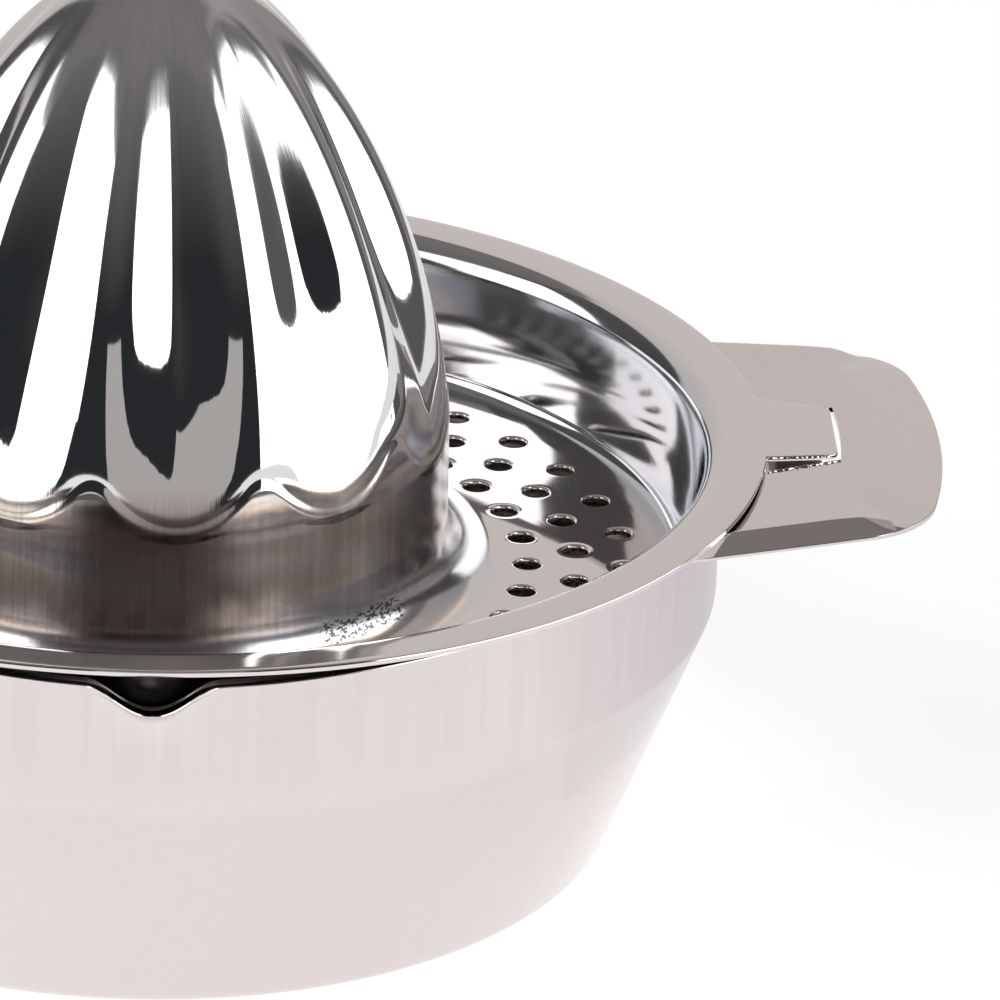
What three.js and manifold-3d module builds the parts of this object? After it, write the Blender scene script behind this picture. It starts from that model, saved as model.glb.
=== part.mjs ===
// Two-piece pressed steel citrus juicer: a bowl with two handles, and a strainer
// with a fluted reamer that hangs in the bowl by its ring. Millimetres, +Z up.
// The origin is the centre of the bowl's flat underside; the spout faces -Y and the handles lie on X.
import * as THREE from "three";
import { mergeVertices } from "three/addons/utils/BufferGeometryUtils.js";
import Module from "manifold-3d";

const wasm = await Module();
wasm.setup();

// Sheet metal and running fits
const bowlSheet = 0.6;
const insertSheet = 0.6;
const wallClearance = 0.35;
const seatClearance = 0.45;
const cutOverrun = 3;

// Strainer: ring, wall and perforated floor
const wallRadius = 58.85;
const ringWidth = 6.15;
const wallBend = 2.8;
const strainerDepth = 15.5;
const footBend = 2.2;
const footLedge = 1.1;
const footStep = 0.5;
const holeDiameter = 2.8;
const holeFlare = 0.12;
const holeOverrun = 0.4;
const innerHoleMargin = 8.8;
const outerHoleMargin = 8;
const holeRingCount = 3;
const holesPerRing = 36;
const holeTurn = THREE.MathUtils.degToRad(-2.3);

// Reamer: base band, flutes and crown
const domeRadius = 31.6;
const domeHeight = 51;
const domeSwell = 1.6;
const domeRound = 0.55;
const bandTaper = 0.3;
const cavettoBend = 5.5;
const fluteCount = 11;
const fluteTurn = THREE.MathUtils.degToRad(5.2);
const fluteFootDepth = 0.57;
const fluteDepth = 2.77;
const fluteDeepest = 24.2;
const fluteTop = 48;
const fluteFade = 1.7;
const fluteSharpness = 1.28;
const fluteCrest = 0.42;
const fluteFootDrop = 0.7;
const fluteFootArch = 4.7;
const footSharpness = 2.1;
const footCrest = 0.2;
const shoulderRise = 1.2;

// Locking tongues on the ring
const tongueReach = 7.2;
const tongueRootWidth = 15.8;
const tongueTipWidth = 12.8;
const tongueStep = 0.05;
const tongueDrop = 0.25;

// Bowl: base, cone, upright band and rolled rim
const bowlHeight = 43.25;
const coneHeight = 28;
const baseRadius = 50;
const baseBend = 3;
const breakBend = 2;
const rimBend = 2;
const rimReach = 2.6;
const rimDip = 1.6;
const rimDipWidth = 27;

// Pouring lip
const spoutReach = 5.5;
const spoutHalfWidth = 6.8;
const spoutFall = 9;
const spoutDip = 0.6;

// Handles and their locking slots
const handleReach = 20.4;
const handleRootWidth = 54.2;
const handleTipWidth = 45.6;
const handleCorner = 9.9;
const handleRise = 1.55;
const lipWidth = 2.6;
const lipDrop = 2.2;
const handleOverlap = 1.1;
const handleStep = 0.05;
const slotCover = 1.4;
const slotRootClearance = 1.9;
const slotTipClearance = 1.4;
const slotEndClearance = 0.7;
const shelfReach = 5.7;
const shelfFall = 2.4;
const shelfDepth = 1.4;
const shelfClearance = 0.4;
const shelfOverlap = 0.9;
const shelfStep = 0.15;

// Facet counts
const insertSides = 77;
const bowlSides = 60;
const spoutCrowding = 0.65;
const holeSides = 8;
const fineBend = THREE.MathUtils.degToRad(30);
const coarseBend = THREE.MathUtils.degToRad(45);
const handlePoints = 13;
const lipRows = 3;

// Heights and radii that follow from the sizes above
const ringUnderside = bowlHeight + seatClearance;
const ringTop = ringUnderside + insertSheet;
const ringRadius = wallRadius + ringWidth;
const strainerFloor = ringTop - strainerDepth;
const bandInside = wallRadius + insertSheet + wallClearance;
const bandOutside = bandInside + bowlSheet;
const rimRadius = bandOutside + rimReach;
const handleEndRadius = rimRadius + handleReach;

// Points along straight runs joined by arcs; a corner is [radius, height, bend radius].
function bentPath(corners, stepAngle) {
  const points = [];
  corners.forEach(([x, y, bend], index) => {
    const here = new THREE.Vector2(x, y);
    if (!bend) {
      points.push(here);
      return;
    }
    const back = new THREE.Vector2(...corners[index - 1].slice(0, 2)).sub(here).normalize();
    const ahead = new THREE.Vector2(...corners[index + 1].slice(0, 2)).sub(here).normalize();
    const halfAngle = Math.acos(THREE.MathUtils.clamp(back.dot(ahead), -1, 1)) / 2;
    const toCentre = back.clone().add(ahead).normalize();
    const centre = here.clone().addScaledVector(toCentre, bend / Math.sin(halfAngle));
    const start = here.clone().addScaledVector(back, bend / Math.tan(halfAngle)).sub(centre);
    const turn = (Math.PI - 2 * halfAngle) * Math.sign(back.cross(ahead));
    const arcSteps = Math.max(Math.round(Math.abs(turn) / stepAngle), 1);
    for (let step = 0; step <= arcSteps; step += 1) {
      const spoke = start.clone().rotateAround(new THREE.Vector2(), -turn * step / arcSteps);
      points.push(spoke.add(centre));
    }
  });
  return points;
}

// The far face of a sheet whose near face follows the path, on the path's left-hand side.
function offsetPath(path, distance) {
  return path.map((point, index) => {
    if (point.x === 0) {
      return new THREE.Vector2(0, point.y - distance);
    }
    const before = path[Math.max(index - 1, 0)];
    const after = path[Math.min(index + 1, path.length - 1)];
    const incoming = point.clone().sub(before).normalize();
    const outgoing = after.clone().sub(point).normalize();
    const along = incoming.clone().add(outgoing).normalize();
    const mitre = incoming.lengthSq() && outgoing.lengthSq() ? along.dot(outgoing) : 1;
    return new THREE.Vector2(-along.y, along.x).multiplyScalar(distance / mitre).add(point);
  });
}

// A revolved sheet: near face out to in, far face back again, closed at its outer edge.
function revolvedSheet(nearFace, farFace, sides, firstTurn) {
  const loop = [...nearFace, ...farFace.slice().reverse(), nearFace[0]];
  return new THREE.LatheGeometry(loop, sides, firstTurn).rotateX(Math.PI / 2);
}

// Moves each vertex by a rule on its radius, its turn from the front (-Y) towards +X, and its height.
function reshape(geometry, rule) {
  const position = geometry.getAttribute("position");
  for (let index = 0; index < position.count; index += 1) {
    const x = position.getX(index);
    const y = position.getY(index);
    const { radius, turn, height } = rule(Math.hypot(x, y), Math.atan2(x, -y), position.getZ(index));
    position.setXYZ(index, radius * Math.sin(turn), -radius * Math.cos(turn), height);
  }
  return geometry;
}

// Turns a closed geometry into a solid that can be joined and cut.
function toSolid(geometry) {
  const bare = geometry.clone();
  bare.deleteAttribute("normal");
  bare.deleteAttribute("uv");
  const merged = mergeVertices(bare);
  const corners = merged.index.array;
  const kept = [];
  for (let first = 0; first < corners.length; first += 3) {
    const [a, b, c] = corners.slice(first, first + 3);
    if (a !== b && b !== c && c !== a) {
      kept.push(a, b, c);
    }
  }
  const vertProperties = new Float32Array(merged.getAttribute("position").array);
  return new wasm.Manifold(new wasm.Mesh({ numProp: 3, vertProperties, triVerts: new Uint32Array(kept) }));
}

function toMesh(solid, name, material) {
  const { vertProperties, triVerts } = solid.getMesh();
  const geometry = new THREE.BufferGeometry();
  geometry.setAttribute("position", new THREE.BufferAttribute(vertProperties, 3));
  geometry.setIndex(new THREE.BufferAttribute(triVerts, 1));
  geometry.computeVertexNormals();
  const mesh = new THREE.Mesh(geometry, material);
  mesh.name = name;
  return mesh;
}

// A sheet of even upright thickness under a grid of top points, given row by row.
function thickGrid(rows, thickness) {
  const columns = rows[0].length;
  const top = rows.flat();
  const bottom = top.map((point) => point.clone().setZ(point.z - thickness));
  const positions = [...top, ...bottom].flatMap((point) => point.toArray());
  const under = top.length;
  const faces = [];
  const quad = (a, b, c, d) => faces.push(a, b, c, a, c, d);
  for (let row = 0; row + 1 < rows.length; row += 1) {
    for (let column = 0; column + 1 < columns; column += 1) {
      const corner = row * columns + column;
      const next = corner + columns;
      quad(corner, next, next + 1, corner + 1);
      quad(corner + under, corner + 1 + under, next + 1 + under, next + under);
    }
    const left = row * columns;
    const right = left + columns - 1;
    quad(left, left + under, left + columns + under, left + columns);
    quad(right, right + columns, right + columns + under, right + under);
  }
  for (let column = 0; column + 1 < columns; column += 1) {
    const last = (rows.length - 1) * columns + column;
    quad(column, column + 1, column + 1 + under, column + under);
    quad(last, last + under, last + 1 + under, last + 1);
  }
  const geometry = new THREE.BufferGeometry();
  geometry.setAttribute("position", new THREE.Float32BufferAttribute(positions, 3));
  geometry.setIndex(faces);
  return geometry;
}

// Radius of the reamer's ridges at a height above the ring.
function ridgeRadius(height) {
  const share = Math.min(height / domeHeight, 1);
  return height <= 0 ? domeRadius : domeRadius * (1 - share ** domeSwell) ** domeRound;
}

// A curve from 0 on a flute's centre line to 1 on its ridge, rounded over for the crest's share of it.
function fluteSection(share, sharpness, crest) {
  const edge = 1 - crest;
  const slope = sharpness / edge;
  const over = Math.max(share - edge, 0);
  const flank = Math.min(share / edge, 1) ** sharpness;
  return (flank + slope * (over - over ** 2 / (2 * crest))) / (1 + slope * crest / 2);
}

// Depth of a flute's centre line under the ridges at a height above the ring.
function fluteDepthAt(height) {
  if (height < fluteDeepest) {
    const rise = THREE.MathUtils.smoothstep(height, 0, fluteDeepest);
    return THREE.MathUtils.lerp(fluteFootDepth, fluteDepth, rise);
  }
  return fluteDepth * (1 - Math.min((height - fluteDeepest) / (fluteTop - fluteDeepest), 1) ** fluteFade);
}

// How far a flute is pressed in at a turn and a height above the ring.
function fluteInset(turn, height) {
  const pitch = 2 * Math.PI / fluteCount;
  const offset = turn - fluteTurn - pitch * Math.round((turn - fluteTurn) / pitch);
  const share = Math.abs(offset) / (pitch / 2);
  const foot = fluteFootArch * fluteSection(share, footSharpness, footCrest) - fluteFootDrop;
  const rise = THREE.MathUtils.clamp((height - foot) / shoulderRise, 0, 1);
  return fluteDepthAt(height) * (1 - fluteSection(share, fluteSharpness, fluteCrest)) * rise;
}

// Upper face of the strainer and reamer, from the ring's edge in to the crown.
function insertPath(stepAngle, footRows, crownRows) {
  const ledge = wallRadius - footLedge;
  const bandFoot = domeRadius + bandTaper;
  const fluteStart = ringTop - fluteFootDrop;
  const path = bentPath([
    [ringRadius, ringTop],
    [wallRadius, ringTop, wallBend],
    [wallRadius, strainerFloor + footStep, footBend - footStep],
    [ledge - footBend, strainerFloor],
    [bandFoot, strainerFloor, cavettoBend],
    [domeRadius, fluteStart],
  ], stepAngle);
  for (let row = 1; row <= footRows; row += 1) {
    const height = fluteFootArch * row / footRows - fluteFootDrop;
    path.push(new THREE.Vector2(ridgeRadius(height), ringTop + height));
  }
  const shoulder = fluteFootArch - fluteFootDrop;
  for (let row = 1; row < crownRows; row += 1) {
    const height = shoulder + (domeHeight - shoulder) * (1 - (1 - row / crownRows) ** 2);
    path.push(new THREE.Vector2(ridgeRadius(height), ringTop + height));
  }
  path.push(new THREE.Vector2(0, ringTop + domeHeight));
  return path;
}

function pressedInsert() {
  const upper = insertPath(fineBend, 2, 9);
  const lower = offsetPath(insertPath(coarseBend, 2, 7), insertSheet);
  const sheet = revolvedSheet(upper, lower, insertSides, fluteTurn);
  reshape(sheet, (radius, turn, height) => {
    const inset = radius > domeRadius ? 0 : fluteInset(turn, height - ringTop);
    return { radius: Math.max(radius - inset, 0), turn, height };
  });
  return toSolid(sheet);
}

// All the strainer holes as one cutter, in staggered rings, flared at their upper edge.
function holeCutter() {
  const innerRing = domeRadius + innerHoleMargin;
  const ringPitch = (wallRadius - outerHoleMargin - innerRing) / (holeRingCount - 1);
  const depth = insertSheet + 2 * holeOverrun;
  const slope = holeFlare / insertSheet;
  const lowRadius = holeDiameter / 2 - slope * holeOverrun;
  const highRadius = holeDiameter / 2 + holeFlare + slope * holeOverrun;
  const shapes = [];
  for (let ring = 0; ring < holeRingCount; ring += 1) {
    for (let hole = 0; hole < holesPerRing; hole += 1) {
      const turn = holeTurn + 2 * Math.PI * (hole + ring / 2) / holesPerRing;
      const radius = innerRing + ring * ringPitch;
      const shape = new THREE.CylinderGeometry(highRadius, lowRadius, depth, holeSides).rotateX(Math.PI / 2);
      shape.translate(radius * Math.cos(turn), radius * Math.sin(turn), strainerFloor - insertSheet / 2);
      shapes.push(toSolid(shape));
    }
  }
  return wasm.Manifold.union(shapes);
}

// A strip of sheet along +X whose top face follows a path of [distance along X, height, half width].
function bentStrip(path, thickness) {
  const edge = (side) => path.map(([along, height, half]) => new THREE.Vector3(along, side * half, height));
  return toSolid(thickGrid([edge(1), edge(-1)], thickness));
}

// A tongue narrows outwards from the ring and dips into its slot.
function tongue() {
  return bentStrip([
    [ringRadius - ringWidth / 2, ringTop - tongueStep, tongueRootWidth / 2],
    [ringRadius, ringTop - tongueStep, tongueRootWidth / 2],
    [ringRadius + tongueReach, ringTop - tongueDrop, tongueTipWidth / 2],
  ], insertSheet);
}

function onBothSides(solid) {
  return solid.add(solid.rotate([0, 0, 180]));
}

// Inner face of the bowl, from the rim's edge down to the centre of the floor.
function bowlPath(stepAngle) {
  return bentPath([
    [rimRadius, bowlHeight],
    [bandInside, bowlHeight, rimBend],
    [bandInside, bowlHeight - spoutFall / 2],
    [bandInside, bowlHeight - spoutFall],
    [bandInside, coneHeight, breakBend],
    [baseRadius - bowlSheet, bowlSheet, baseBend - bowlSheet],
    [0, bowlSheet],
  ], stepAngle);
}

// Draws the rim down towards the front and pushes the pouring lip outwards.
function shapeRim(radius, turn, height) {
  const crowded = turn - spoutCrowding * Math.sin(turn);
  const along = crowded * bandOutside;
  const above = THREE.MathUtils.clamp((height - coneHeight) / (bowlHeight - coneHeight), 0, 1);
  const nearLip = THREE.MathUtils.clamp((height - bowlHeight + spoutFall) / spoutFall, 0, 1);
  const inLip = Math.abs(along) < spoutHalfWidth ? Math.cos(Math.PI / 2 * along / spoutHalfWidth) ** 2 : 0;
  const dip = rimDip * Math.exp(-((along / rimDipWidth) ** 2)) * above;
  return {
    radius: radius + spoutReach * inLip * nearLip ** 2,
    turn: crowded,
    height: height - dip - spoutDip * inLip * nearLip,
  };
}

function pressedBowl() {
  const inner = bowlPath(fineBend);
  const sheet = revolvedSheet(inner, offsetPath(inner, bowlSheet), bowlSides, 0);
  return toSolid(reshape(sheet, shapeRim));
}

// Outline of a handle drawn in by an inset: root, round both corners and the end arc, back to the root.
function handleOutline(inset) {
  const taper = Math.atan((handleRootWidth - handleTipWidth) / 2 / handleReach);
  const outward = new THREE.Vector2(Math.sin(taper), Math.cos(taper));
  const along = new THREE.Vector2(outward.y, -outward.x);
  const sideOffset = outward.dot(new THREE.Vector2(rimRadius, handleRootWidth / 2));
  const rootRadius = rimRadius - handleOverlap;
  const onSide = (offset, reach) =>
    outward.clone().multiplyScalar(offset).addScaledVector(along, Math.sqrt(reach ** 2 - offset ** 2));
  const root = onSide(sideOffset - inset, rootRadius);
  const centre = onSide(sideOffset - handleCorner, handleEndRadius - handleCorner);
  const points = [root];
  const cornerSteps = (handlePoints - 1) / 3;
  for (let step = 0; step < cornerSteps; step += 1) {
    const angle = THREE.MathUtils.lerp(outward.angle(), centre.angle(), step / cornerSteps);
    const spoke = new THREE.Vector2(handleCorner - inset, 0).rotateAround(new THREE.Vector2(), angle);
    points.push(spoke.add(centre));
  }
  for (let step = 0; step <= cornerSteps; step += 1) {
    const angle = centre.angle() * (1 - 2 * step / cornerSteps);
    points.push(new THREE.Vector2(handleEndRadius - inset, 0).rotateAround(new THREE.Vector2(), angle));
  }
  const upperSide = points.slice(0, 1 + cornerSteps);
  const lowerSide = upperSide.map((point) => new THREE.Vector2(point.x, -point.y));
  return [...points, ...lowerSide.reverse()];
}

// Places an outline point on the handle's top face, lower by the given drop.
function onHandle(point, drop) {
  const outward = (point.length() - rimRadius) / handleReach;
  return new THREE.Vector3(point.x, point.y, bowlHeight - handleStep + handleRise * outward - drop);
}

// A handle: a flat tab whose free edge is rolled down all the way round.
function handle() {
  const rows = [];
  for (let row = 0; row <= lipRows; row += 1) {
    const share = row / lipRows;
    const drop = lipDrop * (1 - share) ** 2;
    rows.push(handleOutline(lipWidth * share).map((point) => onHandle(point, drop)));
  }
  const inner = handleOutline(lipWidth);
  const rootAngle = inner[0].angle();
  const last = inner.length - 3;
  rows.push(inner.map((point, index) => {
    const share = THREE.MathUtils.clamp((index - 1) / last, 0, 1);
    const root = new THREE.Vector2(rimRadius - handleOverlap, 0);
    return onHandle(root.rotateAround(new THREE.Vector2(), rootAngle * (1 - 2 * share)), 0);
  }));
  return toSolid(thickGrid(rows, bowlSheet));
}

// Half the slot's width at a distance past the ring's edge.
function slotHalfWidth(distance) {
  const rootHalf = tongueRootWidth / 2 + slotRootClearance;
  const tipHalf = tongueTipWidth / 2 + slotTipClearance;
  return THREE.MathUtils.lerp(rootHalf, tipHalf, distance / tongueReach);
}

// The slot that takes a tongue: wider at the ring, closed by an arc past the tongue's tip.
function slotCutter() {
  const start = ringRadius - slotCover;
  const end = ringRadius + tongueReach + slotEndClearance;
  const rootHalf = slotHalfWidth(-slotCover);
  const tipHalf = slotHalfWidth(tongueReach);
  const tipAngle = Math.asin(tipHalf / end);
  const outline = new THREE.Shape();
  outline.moveTo(start, rootHalf);
  outline.lineTo(start, -rootHalf);
  outline.lineTo(end * Math.cos(tipAngle), -tipHalf);
  outline.absarc(0, 0, end, -tipAngle, tipAngle, false);
  outline.closePath();
  const depth = lipDrop + handleRise + bowlSheet + 2 * cutOverrun;
  const blank = new THREE.ExtrudeGeometry(outline, { depth, bevelEnabled: false, curveSegments: 4 });
  return toSolid(blank.translate(0, 0, bowlHeight - depth / 2));
}

// The shelf under a tongue: the strip cut free along both sides of the slot and pressed down.
function slotShelf() {
  const root = ringRadius - slotCover + shelfStep;
  return bentStrip([
    [root - shelfOverlap, bowlHeight - shelfStep, slotHalfWidth(-slotCover) - shelfClearance],
    [root, bowlHeight - shelfStep, slotHalfWidth(-slotCover) - shelfClearance],
    [root + shelfFall, bowlHeight - shelfDepth, slotHalfWidth(shelfFall - slotCover) - shelfClearance],
    [ringRadius + shelfReach, bowlHeight - shelfDepth, slotHalfWidth(shelfReach) - shelfClearance],
  ], bowlSheet);
}

const satinSteel = new THREE.MeshStandardMaterial({ color: 0xd2cbc9, roughness: 0.34, metalness: 1 });
const polishedSteel = new THREE.MeshStandardMaterial({ color: 0xd8d3d1, roughness: 0.1, metalness: 1 });

const bowl = pressedBowl().add(onBothSides(handle().subtract(slotCutter()).add(slotShelf())));
const insert = pressedInsert().subtract(holeCutter()).add(onBothSides(tongue()));

const juicer = new THREE.Group();
juicer.add(toMesh(bowl, "bowl", satinSteel));
juicer.add(toMesh(insert, "reamer_insert", polishedSteel));

export default juicer;
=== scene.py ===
import math
import random

import bmesh
import bpy
from mathutils import Matrix, Vector

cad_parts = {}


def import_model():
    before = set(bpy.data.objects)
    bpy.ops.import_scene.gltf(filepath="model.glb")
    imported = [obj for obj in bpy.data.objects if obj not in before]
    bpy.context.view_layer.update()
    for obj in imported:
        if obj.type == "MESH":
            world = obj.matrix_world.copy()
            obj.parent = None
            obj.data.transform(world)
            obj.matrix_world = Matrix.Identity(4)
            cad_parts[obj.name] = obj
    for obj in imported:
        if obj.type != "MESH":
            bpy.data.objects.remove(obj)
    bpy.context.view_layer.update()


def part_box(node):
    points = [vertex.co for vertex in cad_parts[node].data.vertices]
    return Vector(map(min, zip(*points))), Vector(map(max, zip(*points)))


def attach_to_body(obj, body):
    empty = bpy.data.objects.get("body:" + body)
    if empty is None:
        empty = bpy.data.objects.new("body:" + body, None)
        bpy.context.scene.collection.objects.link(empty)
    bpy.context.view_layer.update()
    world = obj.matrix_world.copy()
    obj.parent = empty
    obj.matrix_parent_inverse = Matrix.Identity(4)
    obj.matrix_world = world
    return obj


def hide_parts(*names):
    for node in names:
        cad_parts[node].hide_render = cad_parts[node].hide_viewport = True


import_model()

# A two-piece pressed steel citrus juicer. Lengths are in millimetres until a mesh is made.
MM = 0.001

# Steel sheet
SHEET = 0.6
EDGE_ROUND = 0.12
EDGE_SHARES = (0.3, 0.7)
CUT_OVERRUN = 3.0

# Strainer: ring, wall and perforated floor
INSERT_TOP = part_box("reamer_insert")[1].z / MM
DOME_HEIGHT = 51.0
RING_TOP = INSERT_TOP - DOME_HEIGHT
RING_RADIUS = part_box("reamer_insert")[1].y / MM
RING_WIDTH = 6.15
WALL_RADIUS = RING_RADIUS - RING_WIDTH
WALL_BEND = 2.8
WALL_KNEE = 8.5
WALL_KNEE_DRAFT = 1.45
WALL_KNEE_BEND = 24.0
WALL_DRAFT = 2.0
FLOOR_DEPTH = 15.5
FLOOR_TOP = RING_TOP - FLOOR_DEPTH
FOOT_BEND = 2.2
FOOT_LEDGE = 1.1
FOOT_STEP = 0.5
HOLE_RADIUS = 1.4
HOLE_ROLL = 0.34
HOLE_FLAT = 0.5
HOLE_BURR = 0.12
INNER_HOLES = 40.4
OUTER_HOLES = 50.85
HOLE_RINGS = 3
HOLES_PER_RING = 36
HOLE_TURN = math.radians(-2.3)

# Reamer
DOME_RADIUS = 31.6
DOME_SWELL = 1.6
DOME_ROUND = 0.55
BAND_TAPER = 0.3
CAVETTO_BEND = 5.5
FLUTES = 11
FLUTE_TURN = math.radians(5.2)
FLUTE_FOOT_DEPTH = 0.53
FLUTE_FOOT_SHALLOW = 0.42
FLUTE_FOOT_BLEND = 7.0
FLUTE_DEPTH = 2.77
FLUTE_DEEPEST = 24.2
FLUTE_TOP = 48.0
FLUTE_FADE = 1.7
FLUTE_SHARPNESS = 1.28
FLUTE_CREST = 0.42
FLUTE_FOOT_DROP = 0.7
FLUTE_FOOT_ARCH = 4.7
FOOT_SHARPNESS = 2.1
FOOT_CREST = 0.2
SHOULDER_RISE = 1.7
SHOULDER_STEP = 0.05
FOOT_MARGIN = 0.6
SHOULDER_MARGIN = 0.8
FOOT_LOW = -FLUTE_FOOT_DROP - FOOT_MARGIN
FOOT_HIGH = FLUTE_FOOT_ARCH - FLUTE_FOOT_DROP + SHOULDER_RISE + SHOULDER_MARGIN

# Tongues on the ring
TONGUE_REACH = 7.2
TONGUE_ROOT_HALF = 7.9
TONGUE_TIP_HALF = 6.4
TONGUE_DROP = 0.25
TONGUE_CORNER = 0.9
TONGUE_OVERLAP = 3.2

# Bowl
BOWL_HEIGHT = 43.25
CONE_HEIGHT = 28.0
BASE_RADIUS = 50.0
BASE_BEND = 3.0
BASE_CENTRE = 0.6
BREAK_BEND = 2.0
RIM_BEND = 2.0
RIM_REACH = 2.6
RIM_DIP = 1.6
RIM_DIP_WIDTH = 27.0
WALL_CLEARANCE = 0.35
BAND_INSIDE = WALL_RADIUS + SHEET + WALL_CLEARANCE
BAND_OUTSIDE = BAND_INSIDE + SHEET
RIM_RADIUS = BAND_OUTSIDE + RIM_REACH

# Pouring lip
SPOUT_REACH = 5.5
SPOUT_HALF_WIDTH = 6.8
SPOUT_FALL = 9.0
SPOUT_DIP = 0.6

# Handles and slots
HANDLE_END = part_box("bowl")[1].x / MM
HANDLE_REACH = HANDLE_END - RIM_RADIUS
HANDLE_ROOT_WIDTH = 54.2
HANDLE_TIP_WIDTH = 45.6
HANDLE_CORNER = 9.9
HANDLE_RISE = 1.55
LIP_WIDTH = 2.3
LIP_KNEE = 0.6
LIP_SLOPE = 0.9
LIP_DROP = LIP_SLOPE * (LIP_WIDTH - LIP_KNEE / 2)
END_LIP_WIDTH = 9.4
END_LIP_KNEE = 4.0
END_LIP_SLOPE = 0.215
END_LIP_CHANGE = (-0.15, 0.5)
HANDLE_OVERLAP = 1.1
HANDLE_ROOT_TUCK = math.radians(4)
HANDLE_STEP = 0.05
SLOT_OVERLAP = 1.4
SLOT_END_CLEARANCE = 0.55
SLOT_ROOT_CLEARANCE = 1.9
SLOT_TIP_CLEARANCE = 1.4
SLOT_FAR_CLEARANCE = 0.35
SLOT_START = RING_RADIUS - SLOT_OVERLAP
SLOT_END = RING_RADIUS + TONGUE_REACH + SLOT_END_CLEARANCE
SLOT_ROOT_HALF = TONGUE_ROOT_HALF + SLOT_ROOT_CLEARANCE
SLOT_TIP_HALF = TONGUE_TIP_HALF + SLOT_TIP_CLEARANCE
SLOT_TEETH = 26
SLOT_BITE = 0.11
SHELF_OVERLAP = 0.7
SHELF_REACH = 5.7
SHELF_START = SLOT_START - SHELF_OVERLAP
SHELF_END = RING_RADIUS + SHELF_REACH
SHELF_FALL = 2.4
SHELF_DEPTH = 1.4
SHELF_STEP = 0.15
SHELF_CLEARANCE = 0.4

# Torn beads of metal along the slots and tongues
BURR_RADIUS = 0.2
BURR_SHARES = (0.55, 1.0)
BURR_SHIFT = 0.05
SLOT_BURR_START = RING_RADIUS - 0.4
SLOT_BURR_END = SLOT_END - 0.5
TONGUE_BURR_START = RING_RADIUS - 0.5
TONGUE_BURR_OVERHANG = 0.08

# How finely the meshes are made
COLUMN = math.radians(1)
ARC_STEP = math.radians(6)
ROW_STEP = 1.2
FOOT_ROWS = 36
DOME_ROWS = 110
DOME_CROWDING = 1.7
HOLE_STEPS = 6
CELL_ROWS = 5
STRIP_STEP = 0.1
STRIP_COLUMNS = 24
LIP_ROWS = 40
LIP_CROWDING = 1.4
HANDLE_ROWS = 24
SIDE_POINTS = 16
CORNER_POINTS = 24
END_POINTS = 30
SLOT_BOW_POINTS = 16
BOWL_COLUMNS = 400
BOWL_CROWDING = 0.65
BURR_STEP = 0.16
BURR_SIDES = 8
SHARP_ABOVE = math.radians(40)

# Where the insert's finishes begin and are full: radii or heights
REAMER_EDGE = (35.8, 37.4)
FLOOR_EDGE = (54.3, 55.3)
RING_EDGE = (59.0, 60.5)
BAND_FOOT = (30.5, 33.0)
BAND_TOP = (RING_TOP + 1.0, RING_TOP + 5.0)
SATIN_TOP = (RING_TOP - 4.0, RING_TOP - 0.5)
CROWN_START = (70.0, 88.0)
PITS_FOOT = (29.6, 30.8)
PITS_TOP = (32.4, 34.2)

# Patches on the insert, for pits and for painted shade: middle turn, half-widths in radians where it is
# full and where gone, and strength
PITS_PATCH = (0.77, 0.15, 0.34, 1.0)
# Painted shade: the base band's right side made darker
SIDE_SHADE_PATCH = (1.15, 0.12, 0.4, 0.75)
# Painted shade: a darker column down the front of the base band
FRONT_SHADE_PATCH = (0.02, 0.2, 0.32, 0.85)

# Where the bowl's finishes and its painted shade begin and are full
BOWL_BAND_FOOT = (CONE_HEIGHT - 3.0, CONE_HEIGHT + 6.0)
CONE_TOP = (CONE_HEIGHT - 3.0, CONE_HEIGHT + 1.0)
HANDLE_EDGE = (63.5, 65.0)
SHADOW_TOP = (BOWL_HEIGHT - 0.9, BOWL_HEIGHT - 0.5)
SHADOW_SIDE = (9.7, 10.3)
SHADOW_START = (63.6, 64.4)

# Streaks: how many pass per radian and per metre
INSERT_FINE = (95.0, 45.0)
INSERT_COARSE = (24.0, 18.0)
INSERT_CLOUDS = (1.3, 260.0)
INSERT_PITS = (62.0, 3600.0)
BOWL_FINE = (150.0, 22.0)
BOWL_BROAD = (30.0, 12.0)

# Noise that has no direction: how many spots pass per metre
INSERT_DENTS = 70.0
INSERT_GRAIN = 1500.0
BOWL_DENTS = 55.0
BOWL_PEEL = 620.0

# Which part of a noise makes a mark
TAN_PART = (0.5, 0.62)
BLUE_PART = (0.36, 0.48)
PITS_PART = (0.5, 0.54)
STREAK_PART = (0.42, 0.6)

# How strong the marks are, as shares
POLISHED_LINES = 0.03
CROWN_LINES = 0.45
CONE_LINES = 0.25
LINE_DARKNESS = 0.6
CLOUD_STRENGTH = 0.9
STREAK_DULLNESS = 0.5
PEEL_DULLNESS = 0.27

# How deep they are
INSERT_FINE_DEPTH = 0.011
INSERT_COARSE_DEPTH = 0.004
INSERT_DENT_DEPTH = 0.006
BOWL_FINE_DEPTH = 0.0012
BOWL_BROAD_DEPTH = 0.008
BOWL_PEEL_DEPTH = 0.0015

# Roughness: the sheet's own, and what each finish adds
INSERT_ROUGHNESS = 0.03
BAND_ROUGHNESS = 0.11
SATIN_ROUGHNESS = 0.06
WALL_ROUGHNESS = 0.045
CROWN_ROUGHNESS = 0.1
RING_ROUGHNESS = 0.05
GRAIN_ROUGHNESS = 0.012
INSERT_DENT_CHANGE = (0.8, 1.25)
BOWL_ROUGHNESS = 0.12
BOWL_BAND_ROUGHNESS = 0.06
HANDLE_ROUGHNESS = -0.05
SHADOW_ROUGHNESS = 0.25
BOWL_DENT_CHANGE = (0.85, 1.2)
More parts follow.
